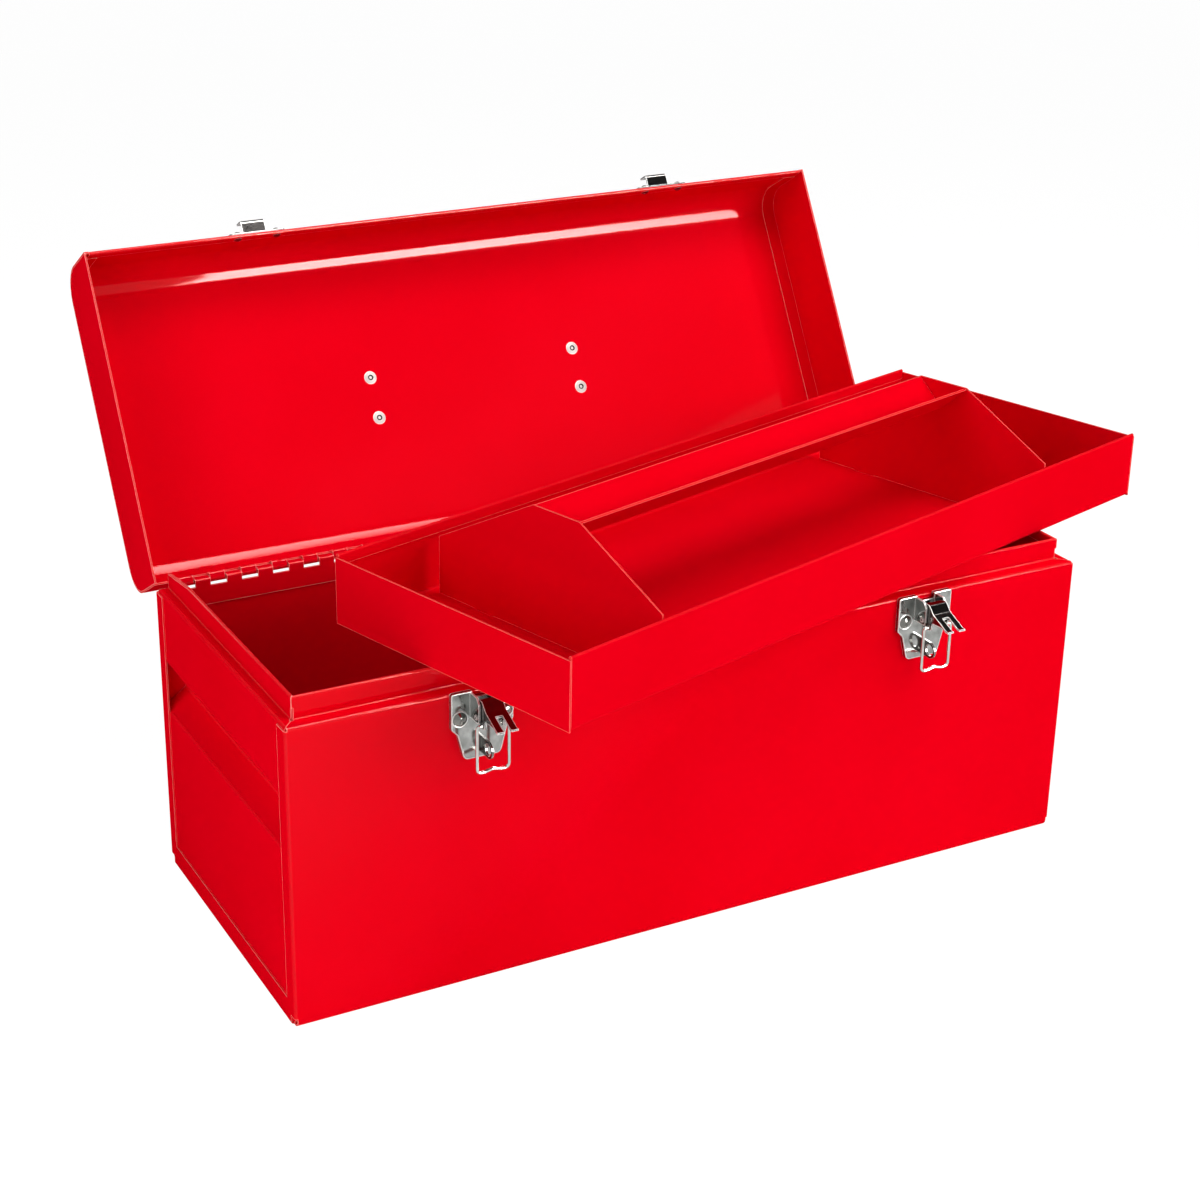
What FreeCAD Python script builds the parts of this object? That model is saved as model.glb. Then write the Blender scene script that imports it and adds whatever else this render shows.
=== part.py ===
import FreeCAD, Part

import math
import os

from FreeCAD import Vector

# Sheet steel tool box with a hinged lid, two draw latches, a lift-out tray and a carry handle.
# Millimetres. +X is to the right of a person at the front, +Y to the back, +Z up.
# The origin is the middle of the underside. The box stands open: the lid leans back on its
# hinge, the tray lies askew across the rim, the latches are undone and their bails hang.

# Box
LENGTH = 508.0
WIDTH = 204.0
BODY_HEIGHT = 180.0
SHEET = 1.0
BOTTOM_BEND = 4.0
SHARP_BEND = 1.2
LEDGE_FRONT = 8.5
LEDGE_END = 7.5
LIP = 13.0
HEM = 6.0
HEM_PITCH = 1.15
BACK_DROP = 4.5
SIDE_FLANGE = 11.0
BOTTOM_FLANGE = 14.5
FLANGE_RELIEF = 5.0
FLANGE_ROOT = 12.0

# End panels with their folded groove, whose inner ridge carries the stored tray
FOOT_FLANGE = 10.0
GROOVE_DROP = 42.0
GROOVE_UPPER = 22.5
GROOVE_LOWER = 11.2
GROOVE_DEPTH = 14.0
GROOVE_BEND = 2.0
END_LIP_FALL = 4.8
END_LIP_FALL_RUN = 42.0
CORNER_RELIEF = 1.1

# Hinge
PIN_OUT = 1.6
PIN_DROP = 0.4
PIN_RADIUS = 1.05
LEAF = 0.9
KNUCKLE_PITCH = 19.6
KNUCKLE_GAP = 0.4
HINGE_INSET = 13.0
LEAF_DROP = 14.6
LEAF_RISE = 15.0
LEAF_CLEAR = 3.6
BODY_LEAF_CLEAR = 2.7
LEAF_BEND = 1.0
LEAF_END = 1.0

# Lid, drawn shut
LID_OPEN = 120.0
LID_RISE = 48.0
LID_INSET_FRONT = 1.2
LID_INSET_BACK = 0.3
LID_INSET_END = 1.0
LID_BEND = 18.0
LID_BACK_CLEAR = 2.8
LID_HEM = 7.5
LID_HEM_END = 3.0
LID_END_FLANGE = 9.0
LID_FLANGE_CLEAR = 2.2

# Latches, measured outwards from the front wall and down from the top of their plates
LATCH_INSET = 111.0
PLATE = 1.2
PLATE_OUT = 2.8
PLATE_RISE = 0.5
PLATE_HALF = 18.3
PLATE_WING = 20.8
PLATE_STEP = 3.7
PLATE_TAPER = 15.2
PLATE_NECK_HALF = 14.7
PLATE_FOOT_HALF = 10.8
PLATE_CORNER = 1.6
PLATE_EDGE = 0.45
NOTCH_INSET = 0.4
NOTCH_DEPTH = 3.4
LATCH_RIVET_INSET = 4.9
LATCH_RIVET_DROP = 15.0
LATCH_RIVET_HEAD = 4.0
LATCH_RIVET_SHANK = 1.6
PIVOT_OUT = 10.3
PIVOT_DROP = 11.8
PIVOT_RADIUS = 1.2
PIVOT_END = 0.6
EAR = 1.0
EAR_CLEAR = 0.4
EAR_REACH = 3.0
EAR_DROP = 3.0
EAR_RISE = 11.4
EAR_SHOULDER = 8.0
EAR_ROUND = 2.0
LEVER_HALF = 6.0
LEVER = 1.0
LEVER_LUG = 1.0
LEVER_CLOSE = 100.0
LEVER_HEEL = Vector(-1.3, 5.8)
LEVER_CREST = Vector(-0.3, 9.8)
LEVER_CREST_RUN = 4.0
LEVER_NECK = Vector(7.7, 5.5)
LEVER_TIP = Vector(20.7, 0.1)
LEVER_CURL = 2.0
LEVER_CREST_BEND = 1.8
LEVER_NECK_BEND = 4.0
LEVER_CURL_BEND = 2.0
LEVER_SLOT_HALF = 2.0
LEVER_SLOT = 11.0
LUG_ROUND = 0.8
LUG_SPAN = 0.8
LUG_DROP = 2.6
BAIL_SEAT = Vector(5.0, -3.0)
BAIL_LEAN = 4.5
BAIL_LUG = 1.9
BAIL_RADIUS = 0.9
BAIL_CLEAR = 0.5
BAIL_SLACK = 1.25
BAIL_CORNER = 2.6
BAIL_WAVE = 1.2
BAIL_WAVE_HALF = 4.8
BAIL_WAVE_BEND = 4.0
BAIL_TAIL = 0.8
STAPLE = 1.1
STAPLE_OUT = 10.2
STAPLE_DROP = 32.5
STAPLE_RADIUS = 5.0
STAPLE_HOLE = 3.4

# Keepers on the lid's front skirt, drawn with the lid shut, measured up from the lid's rim
KEEPER_HALF = 18.0
KEEPER_CLEAR = 1.3
KEEPER_HEIGHT = 15.0
KEEPER_HOOK_HALF = 7.6
KEEPER_SHELF_RISE = 7.3
KEEPER_LIP_RISE = 7.4
KEEPER_REACH = 9.6
KEEPER_BEND = 1.4
KEEPER_RIVET_INSET = 5.4
KEEPER_RIVET_RISE = 4.1
KEEPER_RIVET_HEAD = 2.6
KEEPER_RIVET_SHANK = 1.5

# Carry handle on the lid, drawn with the lid shut
BRACKET_X = 73.0
HANDLE_Y = 3.0
BRACKET_HALF = 10.0
BRACKET_END = 7.75
BRACKET = 1.6
BRACKET_CORNER = 5.0
BRACKET_EAR = 3.0
BRACKET_EAR_RIM = 3.5
HANDLE_RADIUS = 3.5
HANDLE_CLEAR = 1.5
HANDLE_INSET = 7.0
HANDLE_END = 5.0
HANDLE_DROP = 42.0
HANDLE_CORNER = 10.0
GRIP_RADIUS = 9.0
GRIP_INSET = 23.0
GRIP_ROUND = 3.0
GRIP_PLAIN = 5.6
GRIP_RIBS = 12
GRIP_RIB_DEPTH = 0.8
BLIND_RIVET_PITCH = 26.5
BLIND_RIVET_FLANGE = 4.2
BLIND_RIVET_SHANK = 2.4
BLIND_RIVET_BULB = 3.6
BLIND_RIVET_BORE = 1.9
BLIND_RIVET_MANDREL = 0.9
BLIND_RIVET_HEAD = 0.8

# Tray, drawn in its own frame: middle of its underside at the origin
TRAY_END_GAP = 8.0
TRAY_SIDE_GAP = 11.0
TRAY_WALL = 41.0
TRAY_END_DROP = 2.0
TRAY_SHEET = 0.9
TRAY_BEND = 2.0
TRAY_HEM = 6.0
TRAY_HEM_PITCH = 1.1
TRAY_FOOT = 9.0
TRAY_X = 72.0
TRAY_YAW = 16.3
TRAY_LID_GAP = 1.5
LEFT_BAY = 67.5
RIGHT_BAY = 93.0
DIVIDER_RISE = 35.0
DIVIDER_FRONT_RISE = 2.0
DIVIDER_BACK_DROP = 5.0
DIVIDER_BACK_GAP = 8.0
DIVIDER_LIFT = 1.6
DIVIDER_TAB = 16.0
DIVIDER_TAB_Y = 45.0
RAIL_Y = -11.0
RAIL_HALF = 17.4
RAIL_DEPTH = 17.0
RAIL_SHEET = 1.2
RAIL_BEND = 2.5

# Clearances
RUN = 0.05
SEAT = 0.3
WELD = 0.05
TINY = 1e-6

# Places that follow from the sizes above
FRONT = -WIDTH / 2
BACK_TOP = BODY_HEIGHT - BACK_DROP
FLANGE_TOP = BODY_HEIGHT - SHARP_BEND - SHEET / 2
GROOVE_HIGH = BODY_HEIGHT - GROOVE_DROP
GROOVE_MIDDLE = GROOVE_HIGH - GROOVE_UPPER
GROOVE_LOW = GROOVE_MIDDLE - GROOVE_LOWER
PIN_Y = WIDTH / 2 + PIN_OUT
PIN_Z = BODY_HEIGHT - PIN_DROP
LID_KNUCKLES = 2 * int((LENGTH / 2 - HINGE_INSET) / KNUCKLE_PITCH) + 1
LID_LENGTH = LENGTH - 2 * LID_INSET_END
LID_FRONT = WIDTH / 2 - LID_INSET_FRONT
LID_BACK = WIDTH / 2 - LID_INSET_BACK
LID_RIM = BODY_HEIGHT + SEAT
LID_TOP = BODY_HEIGHT + LID_RISE
LID_BACK_EDGE = PIN_Z + LID_BACK_CLEAR
LID_FLANGE_START = LID_RIM + LID_HEM + LID_FLANGE_CLEAR
LATCH_X = LENGTH / 2 - LATCH_INSET
PLATE_TOP = BODY_HEIGHT + PLATE_RISE
PIVOT_Z = PLATE_TOP - PIVOT_DROP
STAPLE_Z = PLATE_TOP - STAPLE_DROP
LATCH_RIVET_X = PLATE_HALF - LATCH_RIVET_INSET
LATCH_RIVET_Z = PLATE_TOP - LATCH_RIVET_DROP
EAR_INNER = LEVER_HALF + EAR_CLEAR
KEEPER_SHELF = LID_RIM + KEEPER_SHELF_RISE
KEEPER_RIVET_X = KEEPER_HALF - KEEPER_RIVET_INSET
KEEPER_RIVET_Z = LID_RIM + KEEPER_RIVET_RISE
CLOSING = math.radians(LEVER_CLOSE)
SEAT_SHUT = PIVOT_Z + BAIL_SEAT.y * math.cos(CLOSING) - BAIL_SEAT.x * math.sin(CLOSING)
BAIL_HALF = EAR_INNER + EAR + PIVOT_END + BAIL_RADIUS + BAIL_CLEAR
BAIL_REACH = KEEPER_SHELF + PLATE / 2 + BAIL_SLACK + BAIL_WAVE + BAIL_RADIUS - SEAT_SHUT
BAIL_LENGTH = BAIL_REACH / math.cos(math.radians(BAIL_LEAN))
HANDLE_Z = LID_TOP + GRIP_RADIUS + HANDLE_CLEAR
GRIP_HALF = BRACKET_X - GRIP_INSET
TRAY_LENGTH = LENGTH - 2 * TRAY_END_GAP
TRAY_WIDTH = WIDTH - 2 * TRAY_SIDE_GAP
TRAY_Z = BODY_HEIGHT + LIP + SEAT
DIVIDER_LEFT = LEFT_BAY - TRAY_LENGTH / 2
DIVIDER_RIGHT = TRAY_LENGTH / 2 - RIGHT_BAY
DIVIDER_TOP = TRAY_WALL + DIVIDER_RISE


def left_of(start, end):
    """Unit vector to the left of a run from one flat point to the next."""
    run = (end - start).normalize()
    return Vector(-run.y, run.x)


def shifted(path, distance):
    """A flat path moved to its left by a distance."""
    sides = [left_of(start, end) for start, end in zip(path, path[1:])]
    before = sides[:1] + sides
    after = sides + sides[-1:]
    return [point + (m + n) * (distance / (1 + m.dot(n))) for point, m, n in zip(path, before, after)]


def rounded(path, radii):
    """Edges of a flat path with each inner corner rounded to its radius."""
    edges = []
    start = path[0]
    for before, corner, after, radius in zip(path, path[1:], path[2:], radii):
        back = (before - corner).normalize()
        ahead = (after - corner).normalize()
        half = back.getAngle(ahead) / 2
        first = corner + back * (radius / math.tan(half))
        last = corner + ahead * (radius / math.tan(half))
        if start.distanceToPoint(first) > TINY:
            edges.append(Part.LineSegment(start, first).toShape())
        if radius > TINY:
            middle = corner + (back + ahead).normalize() * (radius / math.sin(half) - radius)
            edges.append(Part.Arc(first, middle, last).toShape())
        start = last
    edges.append(Part.LineSegment(start, path[-1]).toShape())
    return edges


def as_face(edges):
    """A flat face inside a closed run of edges."""
    return Part.Face(Part.Wire(Part.__sortEdges__(edges)))


def sheet(path, bends, thickness):
    """Section of folded sheet about the middle line of its thickness."""
    turns = [math.copysign(1, left_of(a, b).dot(c - b)) for a, b, c in zip(path, path[1:], path[2:])]
    edges = []
    ends = []
    for distance in (thickness / 2, -thickness / 2):
        side = shifted(path, distance)
        edges += rounded(side, [bend - distance * turn for bend, turn in zip(bends, turns)])
        ends.append((side[0], side[-1]))
    for one, other in zip(*ends):
        edges.append(Part.LineSegment(one, other).toShape())
    return as_face(edges)


def outline(points, radii):
    """Closed flat face with its corners rounded."""
    seam = (points[-1] + points[0]) * 0.5
    return as_face(rounded([seam] + points + [seam], radii))


def flat(*pairs):
    """Flat points from pairs of numbers."""
    return [Vector(a, b) for a, b in pairs]


def along_x(face, start, end):
    """Extrude a section drawn as (y, z) along X."""
    section = face.copy()
    section.Placement = FreeCAD.Placement(Vector(start, 0, 0), FreeCAD.Rotation(Vector(1, 1, 1), 120))
    return section.extrude(Vector(end - start, 0, 0))


def along_y(face, start, end):
    """Extrude a section drawn as (x, z) along Y."""
    section = face.copy()
    section.Placement = FreeCAD.Placement(Vector(0, start, 0), FreeCAD.Rotation(Vector(1, 0, 0), 90))
    return section.extrude(Vector(0, end - start, 0))


def along_z(face, start, end):
    """Extrude a section drawn as (x, y) along Z."""
    section = face.copy()
    section.translate(Vector(0, 0, start))
    return section.extrude(Vector(0, 0, end - start))


def block(low, high):
    """Rectangular block between two corners."""
    size = high - low
    return Part.makeBox(size.x, size.y, size.z, low)


def bar(start, end, radius):
    """Round bar between two points."""
    return Part.makeCylinder(radius, start.distanceToPoint(end), start, end - start)


def dome(base, direction, radius, height):
    """Low round head standing on a point: a slice of a ball."""
    ball = (radius ** 2 + height ** 2) / (2 * height)
    sphere = Part.makeSphere(ball, base - direction * (ball - height))
    return sphere.common(bar(base, base + direction * height, radius))


def joined(shapes):
    """One clean solid from overlapping or touching shapes."""
    first, *rest = shapes
    return first.fuse(rest).removeSplitter()


def mirrored(shape):
    """The same piece for the other end of the box."""
    return shape.mirror(Vector(), Vector(1, 0, 0))


def wire_rod(path, bends, radius, place):
    """Round wire along a flat path, drawn as (x, z) and set into place."""
    spine = Part.Wire(Part.__sortEdges__(rounded(path, bends)))
    start = path[0]
    ring = Part.Wire(Part.makeCircle(radius, start, path[1] - start))
    rod = spine.makePipeShell([ring], True, False)
    rod.Placement = place
    return rod


def out(distance, height):
    """Flat (y, z) point at a distance out from the front wall."""
    return Vector(FRONT - distance, height)


def latch_places():
    """Shift of each latch from the middle of the box."""
    return (("left", -LATCH_X), ("right", LATCH_X))


def at_x(shape, x):
    """A copy of a shape moved along X."""
    return shape.translated(Vector(x, 0, 0))


def opened(shape):
    """A piece drawn with the lid shut, swung back with the lid."""
    swung = shape.copy()
    swung.rotate(Vector(0, PIN_Y, PIN_Z), Vector(1, 0, 0), -LID_OPEN)
    return swung


def rivet_holes(places, direction, radius):
    """Bars that bore the holes of a set of rivets, long enough for any sheet stack."""
    reach = direction * (3 * PLATE + 3 * SHEET)
    return Part.makeCompound([bar(place - reach, place + reach, radius) for place in places])


def latch_rivet_places():
    """Centre of each latch rivet on the face of the front wall."""
    return [Vector(x + side * LATCH_RIVET_X, FRONT, LATCH_RIVET_Z)
            for _, x in latch_places() for side in (-1, 1)]


def keeper_rivet_places():
    """Centre of each keeper rivet on the lid's front skirt, lid shut."""
    return [Vector(x + side * KEEPER_RIVET_X, -LID_FRONT, KEEPER_RIVET_Z)
            for _, x in latch_places() for side in (-1, 1)]


def handle_rivet_places():
    """Centre of each handle rivet on the lid's top, lid shut."""
    return [Vector(x, HANDLE_Y + side * BLIND_RIVET_PITCH / 2, LID_TOP)
            for x in (-BRACKET_X, BRACKET_X) for side in (-1, 1)]


def corner_wedge(far):
    """Plan triangle that mitres the rim at the front left corner, on the end or the front side."""
    corner = Vector(-LENGTH / 2, FRONT)
    inner = corner + Vector(LEDGE_END, LEDGE_FRONT) * 4
    face = outline([corner, inner, far], [0, 0, 0])
    return along_z(face, BODY_HEIGHT - 2 * SHEET, BODY_HEIGHT + 2 * LIP)


def corner_relief():
    """Round relief at the foot of the front left corner of the rim."""
    foot = Vector(LEDGE_END - LENGTH / 2, FRONT + LEDGE_FRONT, BODY_HEIGHT - 2 * SHEET)
    return bar(foot, foot + Vector(0, 0, 2 * SHEET + LIP / 2), CORNER_RELIEF)


def body_shell():
    """Front, bottom and back in one folded sheet, with the front rim and the end flanges."""
    half = SHEET / 2
    lip = FRONT + LEDGE_FRONT + half
    top = BODY_HEIGHT + LIP - half
    path = flat((lip + HEM_PITCH, top - HEM), (lip + HEM_PITCH, top), (lip, top),
                (lip, BODY_HEIGHT - half), (FRONT + half, BODY_HEIGHT - half),
                (FRONT + half, half), (-FRONT - half, half), (-FRONT - half, BACK_TOP))
    bends = [HEM_PITCH / 2] * 2 + [SHARP_BEND] * 2 + [BOTTOM_BEND] * 2
    end = LENGTH / 2 - SHARP_BEND - half
    shell = along_x(sheet(path, bends, SHEET), -end, end)
    wedge = corner_wedge(Vector(-LENGTH / 2 - LEDGE_END, FRONT + 4 * LEDGE_FRONT))
    relief = corner_relief()
    shell = shell.cut([wedge, mirrored(wedge), relief, mirrored(relief)])
    flanges = [end_flange(), mirrored(end_flange())]
    shell = joined([shell] + flanges)
    return shell.cut(rivet_holes(latch_rivet_places(), Vector(0, 1, 0), LATCH_RIVET_SHANK + RUN))


def end_flange():
    """Flanges of the shell folded round the left end panel: front, back and bottom."""
    half = SHEET / 2
    edge = -LENGTH / 2 + half
    pieces = []
    for side in (-1, 1):
        wall = side * (WIDTH / 2 - half)
        turned = side * (WIDTH / 2 - SIDE_FLANGE)
        path = flat((edge + FLANGE_ROOT, wall), (edge, wall), (edge, turned))
        pieces.append(along_z(sheet(path, [SHARP_BEND], SHEET), FLANGE_RELIEF + SHEET, FLANGE_TOP))
    path = flat((edge + FLANGE_ROOT, half), (edge, half), (edge, BOTTOM_FLANGE))
    reach = WIDTH / 2 - FLANGE_RELIEF - SHEET
    pieces.append(along_y(sheet(path, [SHARP_BEND], SHEET), -reach, reach))
    return joined(pieces)


def end_panel():
    """Left end: foot flange, folded groove, ledge and lip in one sheet."""
    half = SHEET / 2
    wall = -LENGTH / 2 + SHEET + half
    lip = -LENGTH / 2 + LEDGE_END + half
    top = BODY_HEIGHT + LIP - half
    floor = SHEET + half
    path = flat((wall + FOOT_FLANGE, floor), (wall, floor), (wall, GROOVE_LOW),
                (wall + GROOVE_DEPTH, GROOVE_MIDDLE), (wall, GROOVE_HIGH),
                (wall, BODY_HEIGHT - half), (lip, BODY_HEIGHT - half), (lip, top),
                (lip + HEM_PITCH, top), (lip + HEM_PITCH, top - HEM))
    bends = [SHARP_BEND] + [GROOVE_BEND] * 3 + [SHARP_BEND] * 2 + [HEM_PITCH / 2] * 2
    front = FRONT + half + SHARP_BEND + WELD
    inset = BOTTOM_BEND + SHEET
    panel = along_y(sheet(path, bends, SHEET), front, -front)
    wedge = corner_wedge(Vector(-LENGTH / 2 + 4 * LEDGE_END, FRONT - LEDGE_FRONT))
    tail = top + half - END_LIP_FALL
    slope = outline(flat((-FRONT - END_LIP_FALL_RUN, top + half), (-FRONT, tail), (-FRONT, top + LIP)),
                    [0] * 3)
    foot_ends = [block(Vector(wall + SHARP_BEND + half, side * (WIDTH / 2 - inset / 2) - inset / 2, 0),
                       Vector(wall + 2 * FOOT_FLANGE, side * (WIDTH / 2 - inset / 2) + inset / 2, inset))
                 for side in (-1, 1)]
    corners = [along_x(bottom_corner(side), -LENGTH / 2, wall + FOOT_FLANGE) for side in (-1, 1)]
    fall = along_x(slope, -LENGTH / 2, lip + 2 * HEM_PITCH)
    return panel.cut([wedge, corner_relief(), fall] + foot_ends + corners)


def bottom_corner(side):
    """Section cut from a lower corner of an end panel, so that it clears the shell's bend."""
    wall = side * WIDTH / 2
    reach = BOTTOM_BEND + 2 * SHEET
    return outline(flat((wall, 0), (wall, reach), (wall - side * reach, 0)), [0] * 3)


def knuckle_path(plate, start, over):
    """Middle line of one hinge knuckle: up a leaf, over the pin and round it.

    over is 1 where the leaf passes above the pin and -1 where it passes below.
    """
    coil = PIN_RADIUS + RUN + LEAF / 2
    crest = PIN_Z + over * coil
    return [Vector(plate, start), Vector(plate, crest), Vector(PIN_Y + coil, crest),
            Vector(PIN_Y + coil, PIN_Z - over * coil), Vector(PIN_Y - coil, PIN_Z - over * coil),
            Vector(PIN_Y - coil, PIN_Z + over * RUN)]


def hinge_leaf(plate, start, end, over, count):
    """One leaf of the long hinge: a strip and its evenly spaced knuckles."""
    coil = PIN_RADIUS + RUN + LEAF / 2
    section = sheet(knuckle_path(plate, start, over), [LEAF_BEND] + [coil] * 3, LEAF)
    half = KNUCKLE_PITCH / 4 - KNUCKLE_GAP / 2
    strip = LID_KNUCKLES * KNUCKLE_PITCH / 2 - KNUCKLE_PITCH / 4
    low, high = sorted((start, end))
    pieces = [block(Vector(-strip, plate - LEAF / 2, low), Vector(strip, plate + LEAF / 2, high))]
    for index in range(count):
        middle = (index - (count - 1) / 2) * KNUCKLE_PITCH
        pieces.append(along_x(section, middle - half, middle + half))
    return joined(pieces)


def hinge_leaf_body():
    """Lower leaf, against the inside of the back wall."""
    plate = -FRONT - SHEET - LEAF / 2
    return hinge_leaf(plate, PIN_Z - LEAF_DROP, PIN_Z - BODY_LEAF_CLEAR, 1, LID_KNUCKLES - 1)


def hinge_leaf_lid():
    """Upper leaf, against the inside of the lid's back skirt, lid shut."""
    plate = LID_BACK - SHEET - LEAF / 2
    return hinge_leaf(plate, PIN_Z + LEAF_RISE, PIN_Z + LEAF_CLEAR, -1, LID_KNUCKLES)


def hinge_pin():
    """Long pin through every knuckle."""
    half = LID_KNUCKLES * KNUCKLE_PITCH / 2 - KNUCKLE_PITCH / 4 + LEAF_END
    return bar(Vector(-half, PIN_Y, PIN_Z), Vector(half, PIN_Y, PIN_Z), PIN_RADIUS)


def lid_shell():
    """Back skirt, top and front skirt in one bent sheet, with the front hem, lid shut."""
    half = SHEET / 2
    front = -LID_FRONT + half
    back = LID_BACK - half
    top = LID_TOP - half
    path = flat((back, LID_BACK_EDGE), (back, top), (front, top), (front, LID_RIM))
    cover = along_x(sheet(path, [LID_BEND] * 2, SHEET), -LID_LENGTH / 2, LID_LENGTH / 2)
    low = LID_RIM + half
    fold = flat((front, LID_RIM + LID_HEM), (front, low), (front + HEM_PITCH, low),
                (front + HEM_PITCH, LID_RIM + LID_HEM))
    end = LID_LENGTH / 2 - LID_HEM_END
    edge = block(Vector(-end, front - half - SEAT, LID_RIM - SEAT),
                 Vector(end, front + half + SEAT, low + half))
    hem = along_x(sheet(fold, [HEM_PITCH / 2] * 2, SHEET), -end, end)
    shell = joined([cover.cut(edge), hem])
    holes = [rivet_holes(keeper_rivet_places(), Vector(0, 1, 0), KEEPER_RIVET_SHANK + RUN),
             rivet_holes(handle_rivet_places(), Vector(0, 0, 1), BLIND_RIVET_SHANK + RUN)]
    return shell.cut(holes)


def lid_inside(inset):
    """Closed section of the lid's inside, drawn in from the sheet by an inset."""
    depth = SHEET + inset
    bend = LID_BEND - SHEET / 2 - inset
    return outline(flat((LID_BACK - depth, LID_RIM), (LID_BACK - depth, LID_TOP - depth),
                        (depth - LID_FRONT, LID_TOP - depth), (depth - LID_FRONT, LID_RIM)),
                   [0, bend, bend, 0])


def lid_end():
    """Left end of the lid: a plate with a flange welded under the top, lid shut."""
    edge = -LID_LENGTH / 2
    plate = along_x(lid_inside(WELD), edge, edge + SHEET)
    ring = along_x(lid_inside(WELD).cut(lid_inside(WELD + SHEET)),
                   edge + SHEET / 2, edge + SHEET + LID_END_FLANGE)
    skirts = block(Vector(edge, -WIDTH, LID_RIM - SHEET), Vector(0, WIDTH, LID_FLANGE_START))
    return joined([plate, ring.cut(skirts)])


def plate_outline(inset):
    """Outline of a latch plate drawn as (x, z), drawn in by an inset."""
    top = PLATE_TOP - inset
    wing = PLATE_TOP - PLATE_WING
    foot = wing - PLATE_STEP - PLATE_TAPER + inset
    half = flat((PLATE_HALF - inset, top), (PLATE_HALF - inset, wing),
                (PLATE_NECK_HALF - inset, wing - PLATE_STEP), (PLATE_FOOT_HALF - inset, foot))
    other = [Vector(-point.x, point.y) for point in reversed(half)]
    notch = PLATE_TOP - NOTCH_DEPTH - inset
    side = EAR_INNER - NOTCH_INSET + inset
    gap = flat((-side, top), (-side, notch), (side, notch), (side, top))
    radii = [PLATE_CORNER, PLATE_CORNER, PLATE_CORNER, 2 * PLATE_CORNER]
    return outline(half + other + gap, radii + radii[::-1] + [PLATE_EDGE] * 4)


def latch_base():
    """Pressed plate of a latch, hollow behind, with the two ears that carry the lever."""
    plate = along_y(plate_outline(0), FRONT, FRONT - PLATE_OUT)
    rims = [edge for edge in plate.Edges if abs(edge.BoundBox.YMax - FRONT + PLATE_OUT) < TINY]
    plate = plate.makeFillet(PLATE_EDGE, rims)
    hollow = along_y(plate_outline(PLATE), FRONT, FRONT - PLATE_OUT + PLATE)
    ears = [at_x(latch_ear(), side * (EAR_INNER + EAR / 2)) for side in (-1, 1)]
    holes = [bar(Vector(side * LATCH_RIVET_X, FRONT + PLATE, LATCH_RIVET_Z),
                 Vector(side * LATCH_RIVET_X, FRONT - 2 * PLATE_OUT, LATCH_RIVET_Z),
                 LATCH_RIVET_SHANK + RUN)
             for side in (-1, 1)]
    return joined([plate.cut(hollow)] + ears).cut(holes)


def latch_ear():
    """Upright ear of a latch plate, about the middle of its thickness."""
    low = PIVOT_Z - EAR_DROP
    root = PLATE_OUT - PLATE / 2
    tip = PIVOT_OUT + EAR_REACH
    face = outline([out(root, low), out(tip, low), out(tip, PIVOT_Z + EAR_SHOULDER),
                    out(PIVOT_OUT, PIVOT_Z + EAR_RISE), out(root, PIVOT_Z + EAR_RISE)],
                   [0, EAR_ROUND, EAR_ROUND / 2, EAR_ROUND / 2, 0])
    ear = along_x(face, -EAR / 2, EAR / 2)
    centre = Vector(-EAR, FRONT - PIVOT_OUT, PIVOT_Z)
    return ear.cut(bar(centre, centre + Vector(2 * EAR, 0, 0), PIVOT_RADIUS + RUN))


def latch_staple():
    """Padlock eye that stands on a latch plate."""
    half = STAPLE / 2
    centre = Vector(-half, FRONT - STAPLE_OUT, STAPLE_Z)
    across = Vector(STAPLE, 0, 0)
    root = block(Vector(-half, FRONT - STAPLE_OUT, STAPLE_Z - STAPLE_RADIUS),
                 Vector(half, FRONT - PLATE_OUT, STAPLE_Z + STAPLE_RADIUS))
    eye = joined([root, bar(centre, centre + across, STAPLE_RADIUS)])
    return eye.cut(bar(centre - across, centre + across * 2, STAPLE_HOLE))


def latch_pivot_pin():
    """Pin through the ears of a latch."""
    half = EAR_INNER + EAR + PIVOT_END
    return bar(Vector(-half, FRONT - PIVOT_OUT, PIVOT_Z), Vector(half, FRONT - PIVOT_OUT, PIVOT_Z),
               PIVOT_RADIUS)


def on_lever(point):
    """Flat (y, z) place of a point given outwards and upwards from the lever's pivot."""
    return out(PIVOT_OUT + point.x, PIVOT_Z + point.y)


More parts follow.
